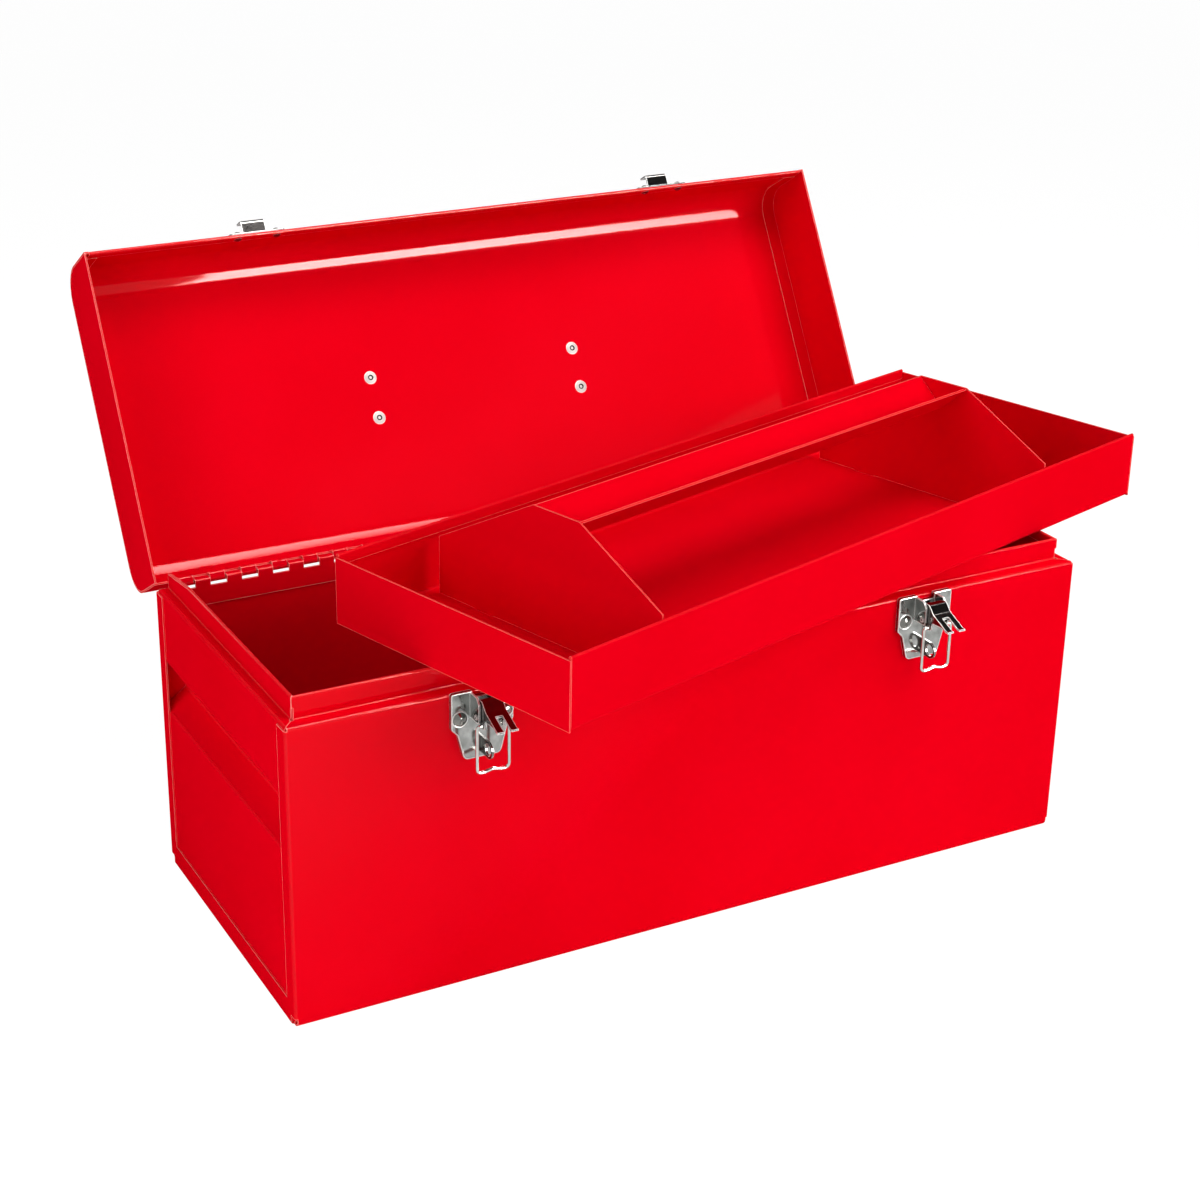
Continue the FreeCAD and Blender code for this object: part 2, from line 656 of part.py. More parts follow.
def latch_lever():
    """Forked lever: a humped plate that ends in two prongs, and the two lugs that turn on the pin."""
    curl = LEVER_TIP + Vector(LEVER_CURL, 0)
    brow = LEVER_CREST + Vector(LEVER_CREST_RUN, 0)
    path = [LEVER_HEEL, LEVER_CREST, brow, LEVER_NECK, LEVER_TIP, curl]
    bends = [LEVER_CREST_BEND, LEVER_CREST_BEND, LEVER_NECK_BEND, LEVER_CURL_BEND]
    section = sheet([on_lever(point) for point in path], bends, LEVER)
    blade = along_x(section, -LEVER_HALF, LEVER_HALF)
    tip = on_lever(curl).x
    slot = block(Vector(-LEVER_SLOT_HALF, tip - LEVER, PIVOT_Z + LEVER_TIP.y - 3 * LEVER),
                 Vector(LEVER_SLOT_HALF, tip + LEVER_SLOT, PIVOT_Z + LEVER_CREST.y))
    far = LEVER_NECK + (LEVER_TIP - LEVER_NECK) * LUG_SPAN
    shape = [LEVER_HEEL, LEVER_CREST, brow, LEVER_NECK, far,
             Vector(LEVER_NECK.x, LEVER_NECK.y - 2 * LUG_DROP),
             BAIL_SEAT + Vector(BAIL_LUG, -BAIL_LUG), BAIL_SEAT - Vector(BAIL_LUG, BAIL_LUG),
             Vector(LEVER_HEEL.x - PIVOT_RADIUS, -PIVOT_RADIUS)]
    radii = [0, LEVER_CREST_BEND, LEVER_CREST_BEND, 0, LUG_ROUND / 4, LUG_ROUND]
    radii += [BAIL_LUG * 0.9, BAIL_LUG * 0.9, LUG_ROUND]
    face = outline([on_lever(point) for point in shape], radii)
    lugs = [along_x(face, side * LEVER_HALF, side * (LEVER_HALF - LEVER_LUG)) for side in (-1, 1)]
    across = Vector(LEVER_HALF * 2, 0, 0)
    holes = []
    for place, radius in ((Vector(), PIVOT_RADIUS), (BAIL_SEAT, BAIL_RADIUS)):
        centre = Vector(0, on_lever(place).x, on_lever(place).y)
        holes.append(bar(centre - across, centre + across, radius + RUN))
    return joined([blade.cut(slot)] + lugs).cut(holes)


def latch_bail():
    """Wire loop that hangs from the lever, with a shallow wave in its bar."""
    drop = -BAIL_LENGTH
    tail = LEVER_HALF - LEVER_LUG - BAIL_TAIL
    path = flat((-tail, 0), (-BAIL_HALF, 0), (-BAIL_HALF, drop), (-BAIL_WAVE_HALF, drop),
                (0, drop + BAIL_WAVE), (BAIL_WAVE_HALF, drop), (BAIL_HALF, drop), (BAIL_HALF, 0), (tail, 0))
    bends = [BAIL_RADIUS * 2, BAIL_CORNER] + [BAIL_WAVE_BEND] * 3 + [BAIL_CORNER, BAIL_RADIUS * 2]
    seat = on_lever(BAIL_SEAT)
    place = FreeCAD.Placement(Vector(0, seat.x, seat.y), FreeCAD.Rotation(Vector(1, 0, 0), 90))
    return wire_rod(path, bends, BAIL_RADIUS, place)


def latch_rivets():
    """Domed rivets that hold both latch plates to the front wall."""
    outward = Vector(0, -1, 0)
    rivets = []
    for place in latch_rivet_places():
        seat = place + outward * PLATE_OUT
        inner = place - outward * SHEET
        rivets.append(joined([bar(inner, seat, LATCH_RIVET_SHANK),
                              dome(seat, outward, LATCH_RIVET_HEAD, LATCH_RIVET_HEAD * 0.5),
                              dome(inner, -outward, LATCH_RIVET_HEAD, LATCH_RIVET_HEAD * 0.5)]))
    return Part.makeCompound(rivets)


def keeper():
    """Hook on the lid that takes a latch's bail, lid shut."""
    skirt = -LID_FRONT
    half = PLATE / 2
    low = LID_RIM + KEEPER_CLEAR
    high = low + KEEPER_HEIGHT
    section = outline(flat((-KEEPER_HALF, low), (KEEPER_HALF, low),
                           (KEEPER_HALF, high), (-KEEPER_HALF, high)),
                      [PLATE_CORNER] * 4)
    plate = along_y(section, skirt, skirt - PLATE)
    rims = [edge for edge in plate.Edges if abs(edge.BoundBox.YMax - skirt + PLATE) < TINY]
    plate = plate.makeFillet(PLATE_EDGE, rims)
    edge = skirt - KEEPER_REACH
    path = flat((skirt - half, KEEPER_SHELF), (edge, KEEPER_SHELF), (edge, KEEPER_SHELF + KEEPER_LIP_RISE))
    hook = along_x(sheet(path, [KEEPER_BEND], PLATE), -KEEPER_HOOK_HALF, KEEPER_HOOK_HALF)
    holes = [bar(Vector(side * KEEPER_RIVET_X, skirt + PLATE, KEEPER_RIVET_Z),
                 Vector(side * KEEPER_RIVET_X, skirt - 2 * PLATE, KEEPER_RIVET_Z), KEEPER_RIVET_SHANK + RUN)
             for side in (-1, 1)]
    return joined([plate, hook]).cut(holes)


def keeper_rivets():
    """Rivets that hold both keepers, through the skirt and its hem, lid shut."""
    outward = Vector(0, -1, 0)
    rivets = []
    for place in keeper_rivet_places():
        seat = place + outward * PLATE
        inner = place - outward * (SHEET + HEM_PITCH)
        rivets.append(joined([bar(inner, seat, KEEPER_RIVET_SHANK),
                              dome(seat, outward, KEEPER_RIVET_HEAD, KEEPER_RIVET_HEAD * 0.5),
                              dome(inner, -outward, KEEPER_RIVET_HEAD, KEEPER_RIVET_HEAD * 0.5)]))
    return Part.makeCompound(rivets)


def handle_bracket():
    """Plate and ear that carry one end of the handle, lid shut, about the middle of the lid."""
    low = HANDLE_Y - BLIND_RIVET_PITCH / 2 - BRACKET_END
    high = HANDLE_Y + BLIND_RIVET_PITCH / 2 + BRACKET_END
    face = outline(flat((-BRACKET_HALF, low), (BRACKET_HALF, low),
                        (BRACKET_HALF, high), (-BRACKET_HALF, high)),
                   [BRACKET_CORNER] * 4)
    plate = along_z(face, LID_TOP, LID_TOP + BRACKET)
    reach = HANDLE_RADIUS + BRACKET_EAR_RIM
    crown = HANDLE_Z + reach
    section = outline(flat((HANDLE_Y - reach, LID_TOP), (HANDLE_Y + reach, LID_TOP),
                           (HANDLE_Y + reach, crown), (HANDLE_Y - reach, crown)),
                      [0, 0] + [reach - SEAT] * 2)
    ear = along_x(section, -BRACKET_EAR / 2, BRACKET_EAR / 2)
    across = Vector(BRACKET_EAR, 0, 0)
    centre = Vector(0, HANDLE_Y, HANDLE_Z)
    holes = [bar(centre - across, centre + across, HANDLE_RADIUS + RUN)]
    for side in (-1, 1):
        place = Vector(0, HANDLE_Y + side * BLIND_RIVET_PITCH / 2, LID_TOP)
        holes.append(bar(place, place + Vector(0, 0, 2 * BRACKET), BLIND_RIVET_SHANK + RUN))
    return joined([plate, ear]).cut(holes)


def handle_rivets():
    """Blind rivets set from inside the lid through the handle brackets, lid shut."""
    up = Vector(0, 0, 1)
    rivets = []
    for place in handle_rivet_places():
        flange = place - up * SHEET
        seat = place + up * BRACKET
        body = joined([bar(flange, seat, BLIND_RIVET_SHANK),
                       dome(flange, -up, BLIND_RIVET_FLANGE, BLIND_RIVET_HEAD),
                       dome(seat, up, BLIND_RIVET_BULB, BLIND_RIVET_BULB * 0.6)])
        bore = bar(flange - up * BLIND_RIVET_HEAD * 2, flange + up * SHEET, BLIND_RIVET_BORE)
        mandrel = bar(flange - up * BLIND_RIVET_HEAD / 2, seat, BLIND_RIVET_MANDREL)
        rivets.append(joined([body.cut(bore), mandrel]))
    return Part.makeCompound(rivets)


def hanging(shape):
    """A handle piece drawn flat towards the back, swung to hang straight down from the open lid."""
    hung = shape.copy()
    hung.rotate(Vector(0, HANDLE_Y, HANDLE_Z), Vector(1, 0, 0), LID_OPEN - 90)
    return opened(hung)


def handle_place():
    """Frame of the handle's flat (x, drop) drawing, lid shut."""
    return FreeCAD.Placement(Vector(0, HANDLE_Y, HANDLE_Z), FreeCAD.Rotation())


def handle_bail():
    """Round steel bow whose ends turn in the brackets, drawn flat towards the back."""
    leg = BRACKET_X - HANDLE_INSET
    tip = BRACKET_X + HANDLE_END
    path = flat((-tip, 0), (-leg, 0), (-leg, HANDLE_DROP), (leg, HANDLE_DROP), (leg, 0), (tip, 0))
    bends = [HANDLE_RADIUS + RUN, HANDLE_CORNER, HANDLE_CORNER, HANDLE_RADIUS + RUN]
    return wire_rod(path, bends, HANDLE_RADIUS, handle_place())


def handle_grip():
    """Ribbed sleeve over the bow, drawn flat towards the back."""
    pitch = 2 * (GRIP_HALF - GRIP_PLAIN) / GRIP_RIBS
    rib = pitch / 2
    profile = flat((HANDLE_RADIUS + RUN, -GRIP_HALF), (GRIP_RADIUS, -GRIP_HALF))
    for index in range(GRIP_RIBS):
        middle = (index - (GRIP_RIBS - 1) / 2) * pitch
        profile += flat((GRIP_RADIUS, middle - rib / 2), (GRIP_RADIUS - GRIP_RIB_DEPTH, middle - rib / 4),
                        (GRIP_RADIUS - GRIP_RIB_DEPTH, middle + rib / 4), (GRIP_RADIUS, middle + rib / 2))
    profile += flat((GRIP_RADIUS, GRIP_HALF), (HANDLE_RADIUS + RUN, GRIP_HALF))
    radii = [0, GRIP_ROUND] + [0] * (4 * GRIP_RIBS) + [GRIP_ROUND, 0]
    sleeve = outline(profile, radii).revolve(Vector(), Vector(0, 1, 0), 360)
    sleeve.rotate(Vector(), Vector(0, 0, 1), 90)
    sleeve.translate(Vector(0, HANDLE_Y + HANDLE_DROP, HANDLE_Z))
    return sleeve


def tray_y():
    """Place of the tray along Y, so that its back edge clears the rim of the open lid's right end."""
    swing = math.radians(LID_OPEN)
    turn = math.radians(TRAY_YAW)
    rim = LID_RIM - PIN_Z
    along = (TRAY_Z - PIN_Z - rim * math.cos(swing)) / math.sin(swing)
    edge = PIN_Y - along * math.cos(swing) + rim * math.sin(swing)
    reach = (LID_LENGTH / 2 - TRAY_X) * math.tan(turn) + TRAY_WIDTH / 2 / math.cos(turn)
    return edge - TRAY_LID_GAP - reach


def placed(shape):
    """A tray piece set askew on the rim."""
    moved = shape.copy()
    moved.rotate(Vector(), Vector(0, 0, 1), TRAY_YAW)
    moved.translate(Vector(TRAY_X, tray_y(), TRAY_Z))
    return moved


def tray_pan():
    """Floor, front and back of the tray in one folded sheet with hemmed edges."""
    half = TRAY_SHEET / 2
    wall = TRAY_WIDTH / 2 - half
    top = TRAY_WALL - half
    fold = wall - TRAY_HEM_PITCH
    path = flat((-fold, top - TRAY_HEM), (-fold, top), (-wall, top), (-wall, half),
                (wall, half), (wall, top), (fold, top), (fold, top - TRAY_HEM))
    bends = [TRAY_HEM_PITCH / 2] * 2 + [TRAY_BEND] * 2 + [TRAY_HEM_PITCH / 2] * 2
    end = TRAY_LENGTH / 2 - TRAY_SHEET
    return along_x(sheet(path, bends, TRAY_SHEET), -end, end)


def tray_end():
    """Left end wall of the tray with a foot welded to the floor."""
    edge = -TRAY_LENGTH / 2
    wall = block(Vector(edge, -TRAY_WIDTH / 2, 0),
                 Vector(edge + TRAY_SHEET, TRAY_WIDTH / 2, TRAY_WALL - TRAY_END_DROP))
    reach = TRAY_WIDTH / 2 - TRAY_SHEET - TRAY_BEND
    foot = block(Vector(edge, -reach, TRAY_SHEET), Vector(edge + TRAY_FOOT, reach, 2 * TRAY_SHEET))
    return joined([wall, foot])


def tray_divider(place):
    """Hip-shaped divider across the tray, with two tabs that stand on the floor."""
    front = -TRAY_WIDTH / 2 + TRAY_SHEET + TRAY_HEM_PITCH
    back = TRAY_WIDTH / 2 - TRAY_SHEET - DIVIDER_BACK_GAP
    crest = RAIL_HALF
    face = outline(flat((front, DIVIDER_LIFT), (front, TRAY_WALL + DIVIDER_FRONT_RISE),
                        (RAIL_Y - crest, DIVIDER_TOP), (RAIL_Y + crest, DIVIDER_TOP),
                        (back, TRAY_WALL - DIVIDER_BACK_DROP), (back, DIVIDER_LIFT)),
                   [0] * 6)
    pieces = [along_x(face, place - TRAY_SHEET / 2, place + TRAY_SHEET / 2)]
    for side in (-1, 1):
        low = Vector(place - TRAY_SHEET / 2, side * DIVIDER_TAB_Y - DIVIDER_TAB / 2, TRAY_SHEET)
        pieces.append(block(low, low + Vector(TRAY_SHEET, DIVIDER_TAB, DIVIDER_LIFT)))
    return joined(pieces)


def tray_rail():
    """V-shaped handle rail between the dividers."""
    path = flat((RAIL_Y - RAIL_HALF, DIVIDER_TOP - RAIL_SHEET / 2), (RAIL_Y, DIVIDER_TOP - RAIL_DEPTH),
                (RAIL_Y + RAIL_HALF, DIVIDER_TOP - RAIL_SHEET / 2))
    inset = TRAY_SHEET / 2 + SEAT
    return along_x(sheet(path, [RAIL_BEND], RAIL_SHEET), DIVIDER_LEFT + inset, DIVIDER_RIGHT - inset)


def latch_pieces():
    """The latch pieces of both latches, under their names."""
    makers = {"latch_base": latch_base, "latch_staple": latch_staple, "latch_pivot_pin": latch_pivot_pin,
              "latch_lever": latch_lever, "latch_bail": latch_bail}
    pieces = {}
    for name, maker in makers.items():
        shape = maker()
        for side, x in latch_places():
            pieces[f"{name}_{side}"] = at_x(shape, x)
    for side, x in latch_places():
        pieces[f"keeper_{side}"] = opened(at_x(keeper(), x))
    return pieces


def tool_box():
    """Every piece of the tool box, under its name."""
    pieces = {
        "body_shell": body_shell(),
        "end_panel_left": end_panel(),
        "end_panel_right": mirrored(end_panel()),
        "hinge_leaf_body": hinge_leaf_body(),
        "hinge_pin": hinge_pin(),
        "latch_rivets": latch_rivets(),
        "lid_shell": opened(lid_shell()),
        "lid_end_left": opened(lid_end()),
        "lid_end_right": opened(mirrored(lid_end())),
        "hinge_leaf_lid": opened(hinge_leaf_lid()),
        "keeper_rivets": opened(keeper_rivets()),
        "handle_bracket_left": opened(at_x(handle_bracket(), -BRACKET_X)),
        "handle_bracket_right": opened(at_x(handle_bracket(), BRACKET_X)),
        "handle_rivets": opened(handle_rivets()),
        "handle_bail": hanging(handle_bail()),
        "handle_grip": hanging(handle_grip()),
        "tray_pan": placed(tray_pan()),
        "tray_end_left": placed(tray_end()),
        "tray_end_right": placed(mirrored(tray_end())),
        "tray_divider_left": placed(tray_divider(DIVIDER_LEFT)),
        "tray_divider_right": placed(tray_divider(DIVIDER_RIGHT)),
        "tray_rail": placed(tray_rail()),
    }
    pieces.update(latch_pieces())
    return pieces


os.makedirs("parts", exist_ok=True)
for node, shape in tool_box().items():
    shape.exportStep(f"parts/{node}.step")
    print(node, len(shape.Solids), shape.isValid(), round(shape.Volume, 1))
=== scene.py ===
"""Looks of a red enamelled sheet steel tool box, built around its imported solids."""

import logging
import math
from dataclasses import dataclass, field
from enum import Enum
from typing import Any

import bpy
import numpy as np
from mathutils import Matrix, Vector

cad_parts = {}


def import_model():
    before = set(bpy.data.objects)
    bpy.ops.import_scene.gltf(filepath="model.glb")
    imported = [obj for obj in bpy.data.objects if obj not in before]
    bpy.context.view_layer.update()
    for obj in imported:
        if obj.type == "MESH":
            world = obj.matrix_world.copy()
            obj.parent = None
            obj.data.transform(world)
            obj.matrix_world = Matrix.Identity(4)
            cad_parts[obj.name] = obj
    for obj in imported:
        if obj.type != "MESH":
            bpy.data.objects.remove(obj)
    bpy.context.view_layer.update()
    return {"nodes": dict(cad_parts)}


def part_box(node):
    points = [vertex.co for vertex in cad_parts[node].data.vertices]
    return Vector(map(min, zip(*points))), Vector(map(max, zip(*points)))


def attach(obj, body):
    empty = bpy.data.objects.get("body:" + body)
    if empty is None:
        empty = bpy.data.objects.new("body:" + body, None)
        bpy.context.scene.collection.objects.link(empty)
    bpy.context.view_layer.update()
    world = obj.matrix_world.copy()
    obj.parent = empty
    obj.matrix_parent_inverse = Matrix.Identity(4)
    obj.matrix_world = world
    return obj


LOG = logging.getLogger("tool_box")
MM = 0.001
PHOTO_SIDE = 1200.0
SENSOR = 36.0
WHITE = "#FFFFFF"

# Detail of Blender's noise: how many finer copies of a pattern lie on top of it.
BROAD, MIDDLING, FINE = 2.0, 3.0, 4.0

# Socket numbers of Blender's mix node, whose sockets share their names.
SHARE = 0
VALUE_A, VALUE_B, VALUE_OUT = 2, 3, 0
COLOUR_A, COLOUR_B, COLOUR_OUT = 6, 7, 2

# Cosine of the turn at which an edge begins to show, and at which it shows in full.
TURN_SPAN = (0.998, 0.95)
# Open share of the sky above an inner corner, and above an outer fold.
FOLD_SPAN = (0.6, 0.8)
# How far round an edge its walls are looked for, in reaches of the mark.
FOLD_REACHES = 3
# Open share of the sky where the painted shade of a hollow begins, and where it is darkest.
HOLLOW_SPAN = (0.8, 0.5)
BEVEL_RAYS, FOLD_RAYS, HOLLOW_RAYS = 6, 4, 8

Colour = tuple[float, float, float, float]


class Side(Enum):
    """The two ends of the box, as named in its pieces."""

    LEFT = "left"
    RIGHT = "right"


class Ray(Enum):
    """Which part of a surface answers to a lamp: its body colour or its mirror gloss."""

    BODY = "body"
    GLOSS = "gloss"


def linear(colour: str) -> Colour:
    """Turn an sRGB hex colour into linear light, by the curve of the sRGB standard.

    Args:
        colour: Colour as "#RRGGBB".

    Returns:
        Linear red, green, blue and an alpha of one.
    """
    parts = np.array([int(colour[i:i + 2], 16) for i in (1, 3, 5)]) / 255.0
    light = np.where(parts <= 0.04045, parts / 12.92, ((parts + 0.055) / 1.055) ** 2.4)
    return (*[float(v) for v in light], 1.0)


def add(tree: bpy.types.NodeTree, kind: str, inputs: dict[Any, Any] | None = None,
        **settings: Any) -> bpy.types.Node:
    """Add a node with its settings, constants and links.

    Args:
        tree: Node tree that takes the node.
        kind: Blender's type name of the node.
        inputs: Value or output socket for each named or numbered input.
        settings: Properties of the node.

    Returns:
        The new node.
    """
    node = tree.nodes.new(kind)
    for name, value in settings.items():
        setattr(node, name, value)
    for name, value in (inputs or {}).items():
        if isinstance(value, bpy.types.NodeSocket):
            tree.links.new(value, node.inputs[name])
        else:
            node.inputs[name].default_value = value
    return node


def new_material(name: str) -> tuple[bpy.types.Material, bpy.types.NodeTree, bpy.types.Node]:
    """Make an empty node material.

    Args:
        name: Name of the material.

    Returns:
        The material, its tree and its output node.
    """
    material = bpy.data.materials.new(name)
    material.use_nodes = True
    tree = material.node_tree
    tree.nodes.clear()
    return material, tree, add(tree, "ShaderNodeOutputMaterial")


def edge_highlight_mask(tree: bpy.types.NodeTree, reach_mm: float) -> bpy.types.NodeSocket:
    """Mark the outer folds and cut edges of sheet metal, along which the finishes paint their edge
    highlights.

    The mark is how far the normal, averaged over the reach, turns away from that of the face. Inner
    corners, which their own walls close in, are left out.

    Args:
        tree: Node tree that takes the nodes.
        reach_mm: Reach of the mark on either side of the edge.

    Returns:
        Socket that runs from nothing on a flat to one at an edge.
    """
    rounded = add(tree, "ShaderNodeBevel", {"Radius": reach_mm * MM}, samples=BEVEL_RAYS)
    face = add(tree, "ShaderNodeNewGeometry")
    turn = add(tree, "ShaderNodeVectorMath",
               {0: rounded.outputs["Normal"], 1: face.outputs["True Normal"]},
               operation="DOT_PRODUCT")
    edge = add(tree, "ShaderNodeMapRange",
               {"Value": turn.outputs["Value"], "From Min": TURN_SPAN[0], "From Max": TURN_SPAN[1]})
    room = add(tree, "ShaderNodeAmbientOcclusion", {"Distance": FOLD_REACHES * reach_mm * MM},
               samples=FOLD_RAYS)
    outer = add(tree, "ShaderNodeMapRange",
                {"Value": room.outputs["AO"], "From Min": FOLD_SPAN[0], "From Max": FOLD_SPAN[1]})
    return add(tree, "ShaderNodeMath", {0: edge.outputs["Result"], 1: outer.outputs["Result"]},
               operation="MULTIPLY").outputs[0]


@dataclass(frozen=True)
class Enamel:
    """Stoved gloss enamel on sheet steel.

    Sprayed and baked: a deep even red, slightly fuller where the coat is thick, under a glossy skin
    that mirrors lamps as pale stripes and breaks them up with a fine orange peel. Seen along the
    sheet the peel scatters the mirror image, so the red stays clean there. Outer folds and cut
    edges are painted as thin pale lines, painted highlights that stand in for the glints of their
    edges.
    """

    name: str = "stoved_gloss_enamel"
    thin: str = "#DA0010"
    full: str = "#E8001A"
    # Colour of the painted edge highlights: pale lines along outer folds and cut edges.
    edge: str = "#FFA096"
    tint: str = "#FFABA8"
    gloss: float = 0.035
    dull: float = 0.06
    specular: float = 0.3
    grazing_specular: float = 0.0
    grazing_span: tuple[float, float] = (0.08, 0.24)
    edge_mm: float = 0.5
    depth_mm: float = 110.0
    peel_mm: float = 1.7
    peel_height_mm: float = 0.02
    peel_strength: float = 0.06

    def material(self) -> bpy.types.Material:
        """Build the enamel's node tree and return its material."""
        material, tree, output = new_material(self.name)
        place = add(tree, "ShaderNodeTexCoord").outputs["Object"]
        depth = add(tree, "ShaderNodeTexNoise",
                    {"Vector": place, "Scale": 1 / (self.depth_mm * MM), "Detail": BROAD})
        colour = add(tree, "ShaderNodeMix",
                     {SHARE: depth.outputs["Fac"], COLOUR_A: linear(self.thin),
                      COLOUR_B: linear(self.full)}, data_type="RGBA")
        # Painted highlight: outer folds and cut edges are mixed towards the pale edge colour.
        painted_edge_lines = edge_highlight_mask(tree, self.edge_mm)
        colour_with_edge_lines = add(tree, "ShaderNodeMix",
                          {SHARE: painted_edge_lines, COLOUR_A: colour.outputs[COLOUR_OUT],
                           COLOUR_B: linear(self.edge)}, data_type="RGBA")
        sheen = add(tree, "ShaderNodeMapRange",
                    {"Value": depth.outputs["Fac"], "To Min": self.gloss, "To Max": self.dull})
        peel = add(tree, "ShaderNodeTexNoise",
                   {"Vector": place, "Scale": 1 / (self.peel_mm * MM), "Detail": MIDDLING})
        bump = add(tree, "ShaderNodeBump",
                   {"Height": peel.outputs["Fac"], "Strength": self.peel_strength,
                    "Distance": self.peel_height_mm * MM})
        along = add(tree, "ShaderNodeLayerWeight", {"Blend": 0.5})
        mirror = add(tree, "ShaderNodeMapRange",
                     {"Value": along.outputs["Facing"], "From Min": self.grazing_span[0],
                      "From Max": self.grazing_span[1], "To Min": self.specular,
                      "To Max": self.grazing_specular}, interpolation_type="SMOOTHSTEP")
        skin = add(tree, "ShaderNodeBsdfPrincipled",
                   {"Base Color": colour_with_edge_lines.outputs[COLOUR_OUT],
                    "Roughness": sheen.outputs["Result"], "Normal": bump.outputs["Normal"],
                    "Specular IOR Level": mirror.outputs["Result"],
                    "Specular Tint": linear(self.tint)})
        tree.links.new(skin.outputs["BSDF"], output.inputs["Surface"])
        return material


@dataclass(frozen=True)
class ZincPlate:
    """Bright zinc plate on pressed steel.

    Rolled, pressed and plated: a cool grey mirror with dark and bright patches, partly stains and
    partly painted reflections of the surroundings, a mild haze and fine rolling lines. Flats stay
    mid grey and bends flash white. Outer folds and cut edges are painted chalky white, less
    metallic and rougher, a painted highlight that draws their outline whatever they mirror. Narrow
    hollows can be painted dark, a painted shade. Real rolling lines lie about 0.1 mm apart, too
    fine to show, so they are made coarser here.
    """

    name: str = "bright_zinc_plate"
    bright: str = "#C3C5C2"
    dark: str = "#4E4F4C"
    # Colour of the painted edge highlight.
    edge: str = "#FAFAF8"
    smooth: float = 0.08
    hazy: float = 0.16
    edge_mm: float = 0.9
    metal: float = 1.0
    # Painted highlight: the edges are also made less metallic and rougher.
    edge_metal: float = 0.3
    edge_rough: float = 0.4
    # Colour and reach of the painted shade in narrow hollows; none when the reach is nought.
    hollow: str = "#1C1B1A"
    hollow_mm: float = 0.0
    stain_and_reflection_mm: float = 8.0
    roll_mm: float = 0.7
    roll_stretch: float = 0.06
    roll_height_mm: float = 0.03
    roll_strength: float = 0.12

    def material(self) -> bpy.types.Material:
        """Build the plate's node tree and return its material."""
        material, tree, output = new_material(self.name)
        place = add(tree, "ShaderNodeTexCoord").outputs["Object"]
        # Dark and bright patches: partly stains, partly painted reflections of the surroundings.
        stain_and_reflection = add(tree, "ShaderNodeTexNoise",
                    {"Vector": place, "Scale": 1 / (self.stain_and_reflection_mm * MM), "Detail": MIDDLING})
        colour = add(tree, "ShaderNodeMix",
                     {SHARE: stain_and_reflection.outputs["Fac"], COLOUR_A: linear(self.dark),
                      COLOUR_B: linear(self.bright)}, data_type="RGBA")
        # Painted highlight: outer folds and cut edges turn chalky white, less metallic and rougher.
        painted_edge_highlight = edge_highlight_mask(tree, self.edge_mm)
        colour_with_painted_light = add(tree, "ShaderNodeMix",
                   {SHARE: painted_edge_highlight, COLOUR_A: colour.outputs[COLOUR_OUT],
                    COLOUR_B: linear(self.edge)}, data_type="RGBA")
        metal = add(tree, "ShaderNodeMapRange",
                    {"Value": painted_edge_highlight, "To Min": self.metal, "To Max": self.edge_metal})
        haze = add(tree, "ShaderNodeMapRange",
                   {"Value": stain_and_reflection.outputs["Fac"], "To Min": self.hazy, "To Max": self.smooth})
        rough = add(tree, "ShaderNodeMix",
                    {SHARE: painted_edge_highlight, VALUE_A: haze.outputs["Result"], VALUE_B: self.edge_rough})
        stretch = add(tree, "ShaderNodeMapping",
                      {"Vector": place, "Scale": (1.0, 1.0, self.roll_stretch)})
        roll = add(tree, "ShaderNodeTexNoise",
                   {"Vector": stretch.outputs["Vector"], "Scale": 1 / (self.roll_mm * MM),
                    "Detail": BROAD})
        bump = add(tree, "ShaderNodeBump",
                   {"Height": roll.outputs["Fac"], "Strength": self.roll_strength,
                    "Distance": self.roll_height_mm * MM})
        # Painted shade: narrow hollows are darkened.
        if self.hollow_mm:
            colour_with_painted_light = self.painted_hollow_shade(tree, colour_with_painted_light.outputs[COLOUR_OUT])
        skin = add(tree, "ShaderNodeBsdfPrincipled",
                   {"Base Color": colour_with_painted_light.outputs[COLOUR_OUT], "Metallic": metal.outputs["Result"],
                    "Roughness": rough.outputs[VALUE_OUT], "Normal": bump.outputs["Normal"]})
        tree.links.new(skin.outputs["BSDF"], output.inputs["Surface"])
        return material

    def painted_hollow_shade(self, tree: bpy.types.NodeTree, colour: bpy.types.NodeSocket) -> bpy.types.Node:
        """Paint shade into narrow hollows, darker where less of the sky is open.

        Args:
            tree: Node tree that takes the nodes.
            colour: Colour of the open surface.

        Returns:
            Node that mixes the two colours.
        """
        room = add(tree, "ShaderNodeAmbientOcclusion", {"Distance": self.hollow_mm * MM},
                   samples=HOLLOW_RAYS)
        deep = add(tree, "ShaderNodeMapRange",
                   {"Value": room.outputs["AO"], "From Min": HOLLOW_SPAN[0],
                    "From Max": HOLLOW_SPAN[1]})
        return add(tree, "ShaderNodeMix",
                   {SHARE: deep.outputs["Result"], COLOUR_A: colour, COLOUR_B: linear(self.hollow)},
                   data_type="RGBA")


